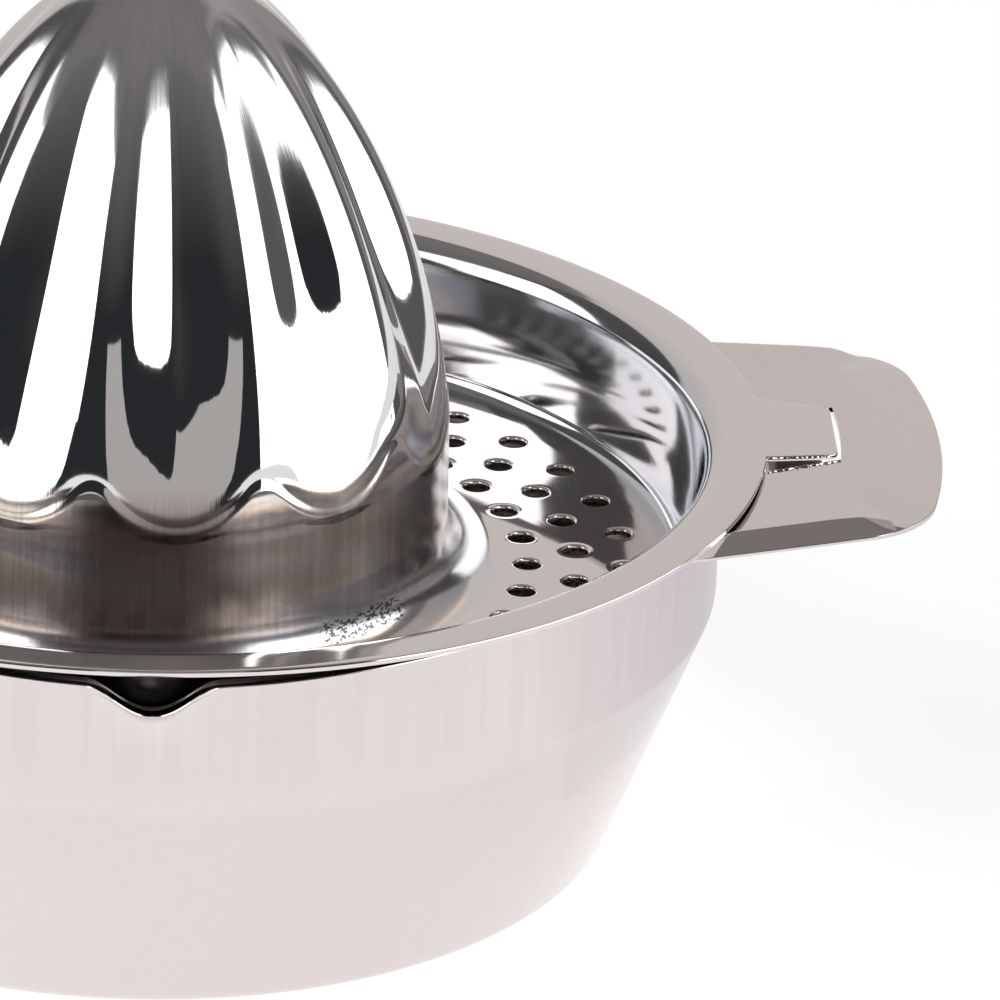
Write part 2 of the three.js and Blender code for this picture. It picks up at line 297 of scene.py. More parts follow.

# Colours of the steel, of the marks on it and of the shade painted on it, and the light that the darkest
# lines keep
INSERT_COLOUR = (0.76, 0.715, 0.70)
REAMER_COLOUR = (0.725, 0.72, 0.725)
WALL_COLOUR = (0.61, 0.612, 0.632)
BAND_COLOUR = (0.98, 0.92, 0.88)
TAN_STAIN = (1.0, 0.86, 0.72)
BLUE_STAIN = (0.66, 0.67, 0.73)
# Painted shade for the front of the base band
PAINTED_FRONT_SHADE = (0.42, 0.36, 0.33)
# Painted shade for the right side of the base band
PAINTED_SIDE_SHADE = (0.5, 0.49, 0.49)
PIT_STAIN = (0.14, 0.14, 0.15)
BOWL_COLOUR = (0.745, 0.69, 0.68)
# Painted shade for the bowl's lower cone
CONE_PAINTED_SHADE = (0.69, 0.64, 0.63)
# Painted shadow in the recess under each tongue
TONGUE_PAINTED_SHADOW = (0.16, 0.13, 0.11)
INSERT_LINE_LIGHT = 0.62
BOWL_LINE_LIGHT = 0.93

# Floor
FLOOR_RADIUS = 500.0
FLOOR_SIDES = 96
FLOOR_COLOUR = (0.8, 0.8, 0.8)
FLOOR_GLOW = 0.76

# The card that shades the floor in the bowl's reflections
SHADE_TURNS = (math.radians(66), math.radians(178))
SHADE_START_FADE = 0.8
SHADE_END_FADE = 0.9
SHADE_RADII = (62.0, 330.0)
SHADE_INNER_EDGE = (62.0, 78.0)
SHADE_OUTER_EDGE = (160.0, 330.0)
SHADE_HEIGHT = 1.0
SHADE_COLUMNS = 32
SHADE_ROWS = 8
SHADE_PALE = (0.99, 0.985, 0.985)
SHADE_BLUE = (0.735, 0.715, 0.765)

# Light
ROOM_LIGHT = 0.16
CARD_ROWS = 24
CARD_COLUMNS = 48
WHITE = (2.4, 2.4, 2.4)
BLACK = (0.026, 0.029, 0.032)
GREY_TINT = (1, 0.955, 0.93)

# Camera, fitted to the picture
CAMERA_RISE = math.radians(23.4)
CAMERA_ROLL = math.radians(-2.43)
CAMERA_TURN = math.radians(3.3)
CAMERA_DISTANCE = 1000.0
CAMERA_RANGE = (0.05, 20.0)
SENSOR_WIDTH = 36.0
PICTURE_PIXELS = 1000
FOCAL_PIXELS = 9530.0
RING_CENTRE_PIXEL = (148.4, 415.0)


def lerp(a, b, share):
    return a + (b - a) * share


def clamp(value, low=0.0, high=1.0):
    return max(low, min(high, value))


class Sheet:
    """Collects the vertices and faces of one closed mesh."""

    def __init__(self):
        self.points = []
        self.faces = []

    def add(self, x, y, z):
        self.points.append((x, y, z))
        return len(self.points) - 1

    def polar(self, radius, turn, z):
        """turn is counted from the front, -Y, towards +X."""
        return self.add(radius * math.sin(turn), -radius * math.cos(turn), z)

    def strip(self, first, second, closed=True):
        """Quads between two rows of the same length."""
        count = len(first)
        for i in range(count if closed else count - 1):
            j = (i + 1) % count
            self.faces.append((first[i], first[j], second[j], second[i]))

    def skin(self, rows, closed=True):
        """Quads from each row to the next."""
        for first, second in zip(rows, rows[1:]):
            self.strip(first, second, closed)

    def cap(self, row, height):
        """Closes a row round the axis with a point on it."""
        tip = self.add(0, 0, height)
        for i in range(len(row)):
            self.faces.append((row[i], row[(i + 1) % len(row)], tip))

    def close_edge(self, upper, lower):
        """Closes the open edge of a sheet between two loops, with both corners rounded."""
        count = len(upper)
        near, far = (EDGE_ROUND * share for share in EDGE_SHARES)
        rows = [[], [], [], []]
        for i in range(count):
            top = Vector(self.points[upper[i]])
            bottom = Vector(self.points[lower[i]])
            ahead = Vector(self.points[upper[(i + 1) % count]])
            behind = Vector(self.points[upper[i - 1]])
            up = (top - bottom).normalized()
            out = (ahead - behind).cross(up).normalized()
            rows[0].append(self.add(*(top + out * far - up * near)))
            rows[1].append(self.add(*(top + out * EDGE_ROUND - up * EDGE_ROUND)))
            rows[2].append(self.add(*(bottom + out * EDGE_ROUND + up * EDGE_ROUND)))
            rows[3].append(self.add(*(bottom + out * far + up * near)))
        self.skin([upper, *rows, lower])

    def make(self, name):
        mesh = bpy.data.meshes.new(name)
        metres = [tuple(length * MM for length in point) for point in self.points]
        mesh.from_pydata(metres, [], self.faces)
        work = bmesh.new()
        work.from_mesh(mesh)
        bmesh.ops.recalc_face_normals(work, faces=work.faces)
        work.to_mesh(mesh)
        work.free()
        piece = bpy.data.objects.new(name, mesh)
        bpy.context.scene.collection.objects.link(piece)
        return piece


def bent_path(corners):
    """Points along straight runs joined by arcs; a corner is (radius, height, bend radius)."""
    path = []
    for index, (x, y, bend) in enumerate(corners):
        here = Vector((x, y))
        if not bend:
            path.append(here)
            continue
        back = (Vector(corners[index - 1][:2]) - here).normalized()
        ahead = (Vector(corners[index + 1][:2]) - here).normalized()
        half = math.acos(clamp(back.dot(ahead), -1, 1)) / 2
        centre = here + (back + ahead).normalized() * (bend / math.sin(half))
        first = here + back * (bend / math.tan(half)) - centre
        turn = math.copysign(math.pi - 2 * half, back.x * ahead.y - back.y * ahead.x)
        steps = max(round(abs(turn) / ARC_STEP), 2)
        for step in range(steps + 1):
            path.append(centre + Matrix.Rotation(-turn * step / steps, 2) @ first)
    return path


def split_runs(path, longest):
    """Adds points so that no run of the path is longer than asked."""
    fine = [path[0]]
    for start, end in zip(path, path[1:]):
        parts = max(math.ceil((end - start).length / longest), 1)
        fine += [start.lerp(end, part / parts) for part in range(1, parts + 1)]
    return fine


def offset_path(path, distance):
    """The far face of a sheet, on the path's left-hand side."""
    moved = []
    for index, point in enumerate(path):
        before = path[max(index - 1, 0)]
        after = path[min(index + 1, len(path) - 1)]
        if point.x == 0:
            moved.append(Vector((0, point.y - distance)))
            continue
        incoming = (point - before).normalized()
        outgoing = (after - point).normalized()
        along = (incoming + outgoing).normalized()
        mitre = along.dot(outgoing) if incoming.length and outgoing.length else 1
        moved.append(point + Vector((-along.y, along.x)) * (distance / mitre))
    return moved


def ridge_radius(height):
    """Radius of the reamer's ridges at a height over the ring."""
    if height <= 0:
        return DOME_RADIUS
    return DOME_RADIUS * (1 - min(height / DOME_HEIGHT, 1) ** DOME_SWELL) ** DOME_ROUND


def smoothstep(value, low, high):
    share = clamp((value - low) / (high - low))
    return share * share * (3 - 2 * share)


def flute_section(share, sharpness, crest):
    """0 on the flute's centre line and 1 on the ridge, rounded over for the crest's share of it."""
    edge = 1 - crest
    slope = sharpness / edge
    over = max(share - edge, 0)
    flank = min(share / edge, 1) ** sharpness
    return (flank + slope * (over - over ** 2 / (2 * crest))) / (1 + slope * crest / 2)


def flute_depth(height):
    """Depth of a flute's centre line under the ridges."""
    if height < FLUTE_DEEPEST:
        shallow = FLUTE_FOOT_SHALLOW * (1 - smoothstep(height, -FLUTE_FOOT_DROP, FLUTE_FOOT_BLEND))
        return lerp(FLUTE_FOOT_DEPTH, FLUTE_DEPTH, smoothstep(height, 0, FLUTE_DEEPEST)) - shallow
    share = min((height - FLUTE_DEEPEST) / (FLUTE_TOP - FLUTE_DEEPEST), 1)
    return FLUTE_DEPTH * (1 - share ** FLUTE_FADE)


def flute_share(turn):
    """0 on the centre line of the nearest flute and 1 on the ridges beside it."""
    pitch = 2 * math.pi / FLUTES
    offset = turn - FLUTE_TURN
    return abs(offset - pitch * round(offset / pitch)) / (pitch / 2)


def flute_foot(turn):
    """Height of the flutes' lower end, arched over each ridge."""
    arch = flute_section(flute_share(turn), FOOT_SHARPNESS, FOOT_CREST)
    return FLUTE_FOOT_ARCH * arch - FLUTE_FOOT_DROP


def follow_foot(height, foot):
    """Moves the rows near the flutes' feet so that the middle third of them lies on the shoulder."""
    if not FOOT_LOW < height < FOOT_HIGH:
        return height
    share = 3 * (height - FOOT_LOW) / (FOOT_HIGH - FOOT_LOW)
    bounds = (FOOT_LOW, foot, foot + SHOULDER_RISE, FOOT_HIGH)
    part = min(int(share), 2)
    return lerp(bounds[part], bounds[part + 1], share - part)


def flute_inset(turn, height):
    """The flutes, and the small step in from the base band that runs along their feet."""
    section = flute_section(flute_share(turn), FLUTE_SHARPNESS, FLUTE_CREST)
    foot = flute_foot(turn)
    rise = smoothstep(height, foot, foot + SHOULDER_RISE)
    step = SHOULDER_STEP * (1 - smoothstep(height, foot, FLUTE_DEEPEST))
    return (flute_depth(height) * (1 - section) + step) * rise


def ring_to_floor():
    """Upper face from the ring's edge down to the flat of the strainer floor."""
    foot = WALL_RADIUS - WALL_DRAFT
    return bent_path([
        (RING_RADIUS - EDGE_ROUND, RING_TOP, 0),
        (WALL_RADIUS, RING_TOP, WALL_BEND),
        (WALL_RADIUS - WALL_KNEE_DRAFT, RING_TOP - WALL_KNEE, WALL_KNEE_BEND),
        (foot, FLOOR_TOP + FOOT_STEP, FOOT_BEND - FOOT_STEP),
        (foot - FOOT_LEDGE - FOOT_BEND, FLOOR_TOP, 0),
    ])


def floor_to_crown():
    """Upper face from the foot of the reamer up to its crown."""
    heights = [lerp(FOOT_LOW, FOOT_HIGH, row / FOOT_ROWS) for row in range(1, FOOT_ROWS)]
    for row in range(DOME_ROWS):
        share = 1 - (1 - row / DOME_ROWS) ** DOME_CROWDING
        heights.append(lerp(FOOT_HIGH, DOME_HEIGHT, share))
    band = bent_path([
        (INNER_HOLES - hole_pitch() / 2, FLOOR_TOP, 0),
        (DOME_RADIUS + BAND_TAPER, FLOOR_TOP, CAVETTO_BEND),
        (DOME_RADIUS, RING_TOP + FOOT_LOW, 0),
    ])
    return band + [Vector((ridge_radius(height), RING_TOP + height)) for height in heights]


def hole_pitch():
    return (OUTER_HOLES - INNER_HOLES) / (HOLE_RINGS - 1)


def revolve_rows(sheet, path, turns):
    """A row of vertices for each point of the path, with the flutes pressed in."""
    feet = [flute_foot(turn) for turn in turns]
    rows = []
    for point in path:
        if point.x > DOME_RADIUS:
            rows.append([sheet.polar(point.x, turn, point.y) for turn in turns])
            continue
        row = []
        for turn, foot in zip(turns, feet):
            height = follow_foot(point.y - RING_TOP, foot)
            moved = point.x - ridge_radius(point.y - RING_TOP) + ridge_radius(height)
            row.append(sheet.polar(max(moved - flute_inset(turn, height), 0), turn, RING_TOP + height))
        rows.append(row)
    return rows


def hole_profile():
    """(radius, height over the floor) from the flat over the rolled edge, through the hole and back out."""
    flat = HOLE_RADIUS + HOLE_ROLL + HOLE_FLAT
    profile = [(flat, 0)]
    for step in range(HOLE_STEPS + 1):
        angle = math.pi / 2 * step / HOLE_STEPS
        reach = HOLE_ROLL * (1 - math.sin(angle))
        profile.append((HOLE_RADIUS + reach, -HOLE_ROLL * (1 - math.cos(angle))))
    profile.append((HOLE_RADIUS, -SHEET - HOLE_BURR))
    profile.append((HOLE_RADIUS + HOLE_BURR, -SHEET))
    profile.append((flat, -SHEET))
    return profile


def punch_cell(sheet, upper, lower, centre):
    """Runs the sheet from a cell's upper border through its hole to the lower border."""
    ways = [(Vector(sheet.points[i][:2]) - centre).normalized() for i in upper]
    chain = [upper]
    for radius, drop in hole_profile():
        chain.append([sheet.add(*(centre + way * radius), FLOOR_TOP + drop) for way in ways])
    chain.append(lower)
    sheet.skin(chain)


def perforated_floor(sheet, outer_rows, inner_rows, turns):
    """Fills the flat between two pairs of rows (upper, lower) with cells, each holding one hole."""
    columns = len(turns)
    per_cell = columns // HOLES_PER_RING
    radii = [OUTER_HOLES + hole_pitch() / 2 - hole_pitch() * band for band in range(HOLE_RINGS + 1)]
    tops = (FLOOR_TOP, FLOOR_TOP - SHEET)
    borders = [outer_rows]
    for radius in radii[1:-1]:
        borders.append([[sheet.polar(radius, turn, z) for turn in turns] for z in tops])
    borders.append(inner_rows)
    for band in range(HOLE_RINGS):
        start = (HOLE_RINGS - 1 - band) % 2 * (per_cell // 2) + per_cell // 2
        stops = [lerp(radii[band], radii[band + 1], step / CELL_ROWS) for step in range(1, CELL_ROWS)]
        spokes = {}
        for cell in range(HOLES_PER_RING):
            column = (start + cell * per_cell) % columns
            spokes[column] = [[sheet.polar(stop, turns[column], z) for stop in stops] for z in tops]
        for cell in range(HOLES_PER_RING):
            first = (start + cell * per_cell) % columns
            span = [(first + step) % columns for step in range(per_cell + 1)]
            loops = []
            for side in (0, 1):
                outer = [borders[band][side][c] for c in span]
                inner = [borders[band + 1][side][c] for c in reversed(span)]
                loops.append(outer + spokes[span[-1]][side] + inner + spokes[span[0]][side][::-1])
            middle = turns[span[per_cell // 2]]
            way = Vector((math.sin(middle), -math.cos(middle)))
            punch_cell(sheet, *loops, way * ((radii[band] + radii[band + 1]) / 2))


def pressed_insert():
    """Ring, wall, floor and reamer as one sheet of even thickness."""
    sheet = Sheet()
    columns = round(2 * math.pi / COLUMN)
    turns = [math.pi / 2 + HOLE_TURN + COLUMN * column for column in range(columns)]
    outer_flat = Vector((OUTER_HOLES + hole_pitch() / 2, FLOOR_TOP))
    outside = split_runs(ring_to_floor() + [outer_flat], ROW_STEP)
    inside = split_runs(floor_to_crown(), ROW_STEP)
    below = offset_path(outside + inside, SHEET)
    upper_out = revolve_rows(sheet, outside, turns)
    upper_in = revolve_rows(sheet, inside, turns)
    lower_out = revolve_rows(sheet, below[:len(outside)], turns)
    lower_in = revolve_rows(sheet, below[len(outside):], turns)
    for rows in (upper_out, upper_in, lower_out, lower_in):
        sheet.skin(rows)
    perforated_floor(sheet, (upper_out[-1], lower_out[-1]), (upper_in[0], lower_in[0]), turns)
    sheet.cap(upper_in[-1], INSERT_TOP)
    sheet.cap(lower_in[-1], INSERT_TOP - SHEET)
    sheet.close_edge(upper_out[0], lower_out[0])
    return sheet.make("reamer_insert_fine")


def plate(name, rows):
    """A sheet of even thickness under a grid of (point, upward normal), with rounded edges."""
    sheet = Sheet()
    upper, lower = [], []
    for row in rows:
        upper.append([sheet.add(*point) for point, normal in row])
        lower.append([sheet.add(*(point - normal.normalized() * SHEET)) for point, normal in row])
    sheet.skin(upper, closed=False)
    sheet.skin(lower, closed=False)
    loops = []
    for grid in (upper, lower):
        right = [row[-1] for row in grid[1:-1]]
        left = [row[0] for row in grid[-2:0:-1]]
        loops.append(grid[0] + right + grid[-1][::-1] + left)
    plan = [sheet.points[i] for i in loops[0]]
    area = sum(a[0] * b[1] - b[0] * a[1] for a, b in zip(plan, plan[1:] + plan[:1]))
    if area < 0:
        loops = [loop[::-1] for loop in loops]
    sheet.close_edge(*loops)
    return sheet.make(name)


def strip_plate(name, start, end, near_side, far_side, height):
    """A strip along +X whose two sides and height change along it."""
    rows = []
    count = round((end - start) / STRIP_STEP)
    for i in range(count + 1):
        x = lerp(start, end, i / count)
        near = near_side(x) + EDGE_ROUND
        far = far_side(x) - EDGE_ROUND
        normal = Vector((height(x) - height(x + STRIP_STEP), 0, STRIP_STEP))
        spots = [lerp(near, far, j / STRIP_COLUMNS) for j in range(STRIP_COLUMNS + 1)]
        rows.append([(Vector((x, y, height(x))), normal) for y in spots])
    return plate(name, rows)


def tongue_half(x):
    """Half the tongue's width, without its rounded corners."""
    return lerp(TONGUE_ROOT_HALF, TONGUE_TIP_HALF, clamp((x - RING_RADIUS) / TONGUE_REACH))


def tongue_height(x):
    return RING_TOP - TONGUE_DROP * clamp((x - RING_RADIUS) / TONGUE_REACH)


def tongue(name):
    """A tongue with rounded corners, with its root inside the ring."""
    root = RING_RADIUS - TONGUE_OVERLAP
    tip = RING_RADIUS + TONGUE_REACH - EDGE_ROUND

    def far_side(x):
        into = max(x - tip + TONGUE_CORNER, 0)
        return tongue_half(x) - TONGUE_CORNER + math.sqrt(max(TONGUE_CORNER ** 2 - into ** 2, 0))

    return strip_plate(name, root, tip, lambda x: -far_side(x), far_side, tongue_height)


def slot_near(x):
    """The slot's side that the tongue stands clear of."""
    return -lerp(SLOT_ROOT_HALF, SLOT_TIP_HALF, (x - RING_RADIUS) / TONGUE_REACH)


def slot_far(x):
    """The slot's side that the tongue rests against."""
    return tongue_half(x) + SLOT_FAR_CLEARANCE


def slot_shelf(name):
    """The strip under a tongue that was cut free along both sides of the slot and pressed down."""
    bend = SLOT_START + SHELF_STEP

    def height(x):
        return BOWL_HEIGHT - lerp(SHELF_STEP, SHELF_DEPTH, smoothstep(x, bend, bend + SHELF_FALL))

    def near_side(x):
        return slot_near(x) + SHELF_CLEARANCE

    return strip_plate(name, SHELF_START, SHELF_END, near_side, tongue_half, height)


def spoke(angle):
    return Vector((math.cos(angle), math.sin(angle)))


def handle_outline(insets):
    """The handle's free edge in plan, each point drawn in by its own inset."""
    taper = math.atan((HANDLE_ROOT_WIDTH - HANDLE_TIP_WIDTH) / 2 / HANDLE_REACH)
    outward = Vector((math.sin(taper), math.cos(taper)))
    along = Vector((outward.y, -outward.x))
    reach = outward.dot(Vector((RIM_RADIUS, HANDLE_ROOT_WIDTH / 2)))
    root_radius = RIM_RADIUS - HANDLE_OVERLAP
    side = reach - insets[0]
    root = outward * side + along * math.sqrt(root_radius ** 2 - side ** 2)
    offset = reach - HANDLE_CORNER
    centre = outward * offset + along * math.sqrt((HANDLE_END - HANDLE_CORNER) ** 2 - offset ** 2)
    start = math.atan2(outward.y, outward.x)
    end = math.atan2(centre.y, centre.x)
    corner = []
    for step in range(CORNER_POINTS + 1):
        angle = lerp(start, end, step / CORNER_POINTS)
        corner.append(centre + spoke(angle) * (HANDLE_CORNER - insets[SIDE_POINTS + step]))
    arc = []
    for step in range(1, END_POINTS + 1):
        angle = end * (1 - step / END_POINTS)
        arc.append(spoke(angle) * (HANDLE_END - insets[SIDE_POINTS + CORNER_POINTS + step]))
    straight = [root.lerp(corner[0], step / SIDE_POINTS) for step in range(SIDE_POINTS)]
    half = straight + corner + arc
    return half + [Vector((p.x, -p.y)) for p in half[-2::-1]]


def lip_shapes():
    """(width, share of the gentle lip) at each outline point: steep on the sides, gentle round the end."""
    half = []
    for index in range(SIDE_POINTS + CORNER_POINTS + END_POINTS + 1):
        width = lerp(LIP_WIDTH, END_LIP_WIDTH, min(index / SIDE_POINTS, 1))
        into_corner = (index - SIDE_POINTS) / CORNER_POINTS
        half.append((width, smoothstep(into_corner, *END_LIP_CHANGE)))
    return half + half[-2::-1]


def lip_profile(into, knee, slope):
    """How far and how steeply a lip has fallen away at a distance into it."""
    if into < knee:
        into = max(into, 0)
        return Vector((slope * into ** 2 / (2 * knee), slope * into / knee))
    return Vector((slope * (into - knee / 2), slope))


def lip_fall(inset, share):
    """The fall and slope at an inset from the edge, between the steep and the gentle lip."""
    steep = lip_profile(LIP_WIDTH - inset, LIP_KNEE, LIP_SLOPE)
    return steep.lerp(lip_profile(END_LIP_WIDTH - inset, END_LIP_KNEE, END_LIP_SLOPE), share)


def handle_spot(point, drop, slope, inward):
    """The handle's top over a plan point, and its upward normal where the lip falls away."""
    radius = point.length
    rise = HANDLE_RISE / HANDLE_REACH
    z = BOWL_HEIGHT - HANDLE_STEP + rise * (radius - RIM_RADIUS) - drop
    uphill = point * (rise / radius) + inward * slope
    return Vector((point.x, point.y, z)), Vector((-uphill.x, -uphill.y, 1))


def handle(name):
    """A flat tab that rises outwards, with its free edge turned down."""
    rows = []
    shapes = lip_shapes()
    for i in range(LIP_ROWS + 1):
        into = (i / LIP_ROWS) ** LIP_CROWDING
        insets = [lerp(EDGE_ROUND, width, into) for width, share in shapes]
        edge = handle_outline(insets)
        further = handle_outline([inset + EDGE_ROUND for inset in insets])
        row = []
        for point, within, inset, (width, share) in zip(edge, further, insets, shapes):
            drop, slope = lip_fall(inset, share)
            row.append(handle_spot(point, drop, slope, (within - point).normalized()))
        rows.append(row)
    root_angle = math.atan2(edge[0].y, edge[0].x) - HANDLE_ROOT_TUCK
    last = len(edge) - 1
    for i in range(1, HANDLE_ROWS + 1):
        row = []
        for j, point in enumerate(edge):
            root = spoke(root_angle * (1 - 2 * j / last)) * (RIM_RADIUS - HANDLE_OVERLAP)
            row.append(handle_spot(point.lerp(root, i / HANDLE_ROWS), 0, 0, Vector((0, 0))))
        rows.append(row)
    return plate(name, rows)


def burr(name, path, seed):
    """The torn bead of metal that shearing leaves along an edge."""
    chance = random.Random(seed)
    sheet = Sheet()
    rings = []
    for index, point in enumerate(path):
        ahead = (path[min(index + 1, len(path) - 1)] - path[max(index - 1, 0)]).normalized()
        side = ahead.cross(Vector((0, 0, 1))).normalized()
        reach = BURR_RADIUS * chance.uniform(*BURR_SHARES)
        shift = Vector([chance.uniform(-BURR_SHIFT, BURR_SHIFT) for axis in range(3)])
        ring = []
        for step in range(BURR_SIDES):
            angle = 2 * math.pi * step / BURR_SIDES
            way = side * math.cos(angle) + ahead.cross(side) * math.sin(angle)
            ring.append(sheet.add(*(point + shift + way * reach)))
        rings.append(ring)
    sheet.skin(rings)
    sheet.faces += [tuple(rings[0][::-1]), tuple(rings[-1])]
    return sheet.make(name)


def burr_path(start, end, side, height):
    """Points along one side of a strip, close enough together for a torn edge."""
    count = round((end - start) / BURR_STEP)
    spots = [lerp(start, end, i / count) for i in range(count + 1)]
    return [Vector((x, side(x), height(x))) for x in spots]


def prism(name, outline, low, high):
    """An upright block with a given outline."""
    sheet = Sheet()
    bottom = [sheet.add(x, y, low) for x, y in outline]
    top = [sheet.add(x, y, high) for x, y in outline]
    sheet.strip(bottom, top)
    sheet.faces += [tuple(bottom[::-1]), tuple(top)]
    return sheet.make(name)


def slot_cutter(name):
    """The slot's outline, with the fine teeth that shearing leaves on its two sides."""
    tip = math.asin(SLOT_TIP_HALF / SLOT_END)
    far_tip = math.asin((TONGUE_TIP_HALF + SLOT_FAR_CLEARANCE) / SLOT_END)
    near = []
    far = []
    for step in range(SLOT_TEETH + 1):
        tooth = SLOT_BITE if step % 2 else 0
        x = lerp(SLOT_START, SLOT_END * math.cos(tip), step / SLOT_TEETH)
        near.append((x, slot_near(x) - tooth))
        x = lerp(SLOT_START, SLOT_END * math.cos(far_tip), step / SLOT_TEETH)
        far.append((x, slot_far(x) + tooth))
    bows = [lerp(-tip, far_tip, step / SLOT_BOW_POINTS) for step in range(1, SLOT_BOW_POINTS)]
    arc = [spoke(angle) * SLOT_END for angle in bows]
    low = BOWL_HEIGHT - LIP_DROP - CUT_OVERRUN
    high = BOWL_HEIGHT + HANDLE_RISE + CUT_OVERRUN
    return prism(name, near + arc + far[::-1], low, high)


def turned(piece):
    """The same piece on the other side of the juicer."""
    piece.data.transform(Matrix.Rotation(math.pi, 4, "Z"))
    return piece


def join(piece, others, operation):
    """Joins or cuts whole meshes and deletes the tools."""
    for other in others:
        cut = piece.modifiers.new(operation, "BOOLEAN")
        cut.operation = operation
        cut.solver = "MANIFOLD"
        cut.object = other
        bpy.context.view_layer.update()
        evaluated = piece.evaluated_get(bpy.context.evaluated_depsgraph_get())
        result = bpy.data.meshes.new_from_object(evaluated)
        piece.modifiers.clear()
        old = piece.data
        piece.data = result
        bpy.data.meshes.remove(old)
        bpy.data.objects.remove(other)


def bowl_path():
    """Inner face from the rim's edge down to the middle of the base."""
    return bent_path([
        (RIM_RADIUS - EDGE_ROUND, BOWL_HEIGHT, 0),
        (BAND_INSIDE, BOWL_HEIGHT, RIM_BEND),
        (BAND_INSIDE, CONE_HEIGHT, BREAK_BEND),
        (BASE_RADIUS - SHEET, SHEET, BASE_BEND - SHEET),
        (BASE_CENTRE, SHEET, 0),
    ])


def rim_shape(radius, turn, height):
    """Draws the rim down towards the front and pushes the pouring lip outwards."""
    along = turn * BAND_OUTSIDE
    above = clamp((height - CONE_HEIGHT) / (BOWL_HEIGHT - CONE_HEIGHT))
    near_lip = clamp((height - BOWL_HEIGHT + SPOUT_FALL) / SPOUT_FALL)
    in_lip = 0
    if abs(along) < SPOUT_HALF_WIDTH:
        in_lip = math.cos(math.pi / 2 * along / SPOUT_HALF_WIDTH) ** 2
    dip = RIM_DIP * math.exp(-(along / RIM_DIP_WIDTH) ** 2) * above
    return radius + SPOUT_REACH * in_lip * near_lip ** 2, height - dip - SPOUT_DIP * in_lip * near_lip


def pressed_bowl():
    """Bowl, handles and slots, with the columns closest round the pouring lip."""
    sheet = Sheet()
    even = [2 * math.pi * column / BOWL_COLUMNS - math.pi for column in range(BOWL_COLUMNS)]
    turns = [turn - BOWL_CROWDING * math.sin(turn) for turn in even]
    path = split_runs(bowl_path(), ROW_STEP)
    faces = []
    for face in (path, offset_path(path, SHEET)):
        rows = []
        for point in face:
            spots = [rim_shape(point.x, turn, point.y) for turn in turns]
            rows.append([sheet.polar(radius, turn, z) for (radius, z), turn in zip(spots, turns)])
        sheet.skin(rows)
        sheet.cap(rows[-1], face[-1].y)
        faces.append(rows)
    sheet.close_edge(faces[0][0], faces[1][0])
    bowl = sheet.make("bowl_fine")
    join(bowl, [handle("handle_right"), turned(handle("handle_left"))], "UNION")
    join(bowl, [slot_cutter("slot_right"), turned(slot_cutter("slot_left"))], "DIFFERENCE")
    join(bowl, [slot_shelf("shelf_right"), turned(slot_shelf("shelf_left"))], "UNION")
    return bowl


def slot_burr(name, seed):
    def height(x):
        return BOWL_HEIGHT + HANDLE_RISE * (x - RIM_RADIUS) / HANDLE_REACH

    return burr(name, burr_path(SLOT_BURR_START, SLOT_BURR_END, slot_near, height), seed)


def tongue_burr(name, seed):
    def height(x):
        return tongue_height(x) - BURR_RADIUS

    def side(x):
        return TONGUE_BURR_OVERHANG - tongue_half(x)

    end = RING_RADIUS + TONGUE_REACH - TONGUE_CORNER
    return burr(name, burr_path(TONGUE_BURR_START, end, side, height), seed)


def attach(piece, others):
    """Makes loose meshes part of a piece."""
    work = bmesh.new()
    work.from_mesh(piece.data)
    for other in others:
        work.from_mesh(other.data)
        bpy.data.objects.remove(other)
    work.to_mesh(piece.data)
    work.free()


def smooth(piece):
    piece.data.polygons.foreach_set("use_smooth", [True] * len(piece.data.polygons))
    piece.data.set_sharp_from_angle(angle=SHARP_ABOVE)


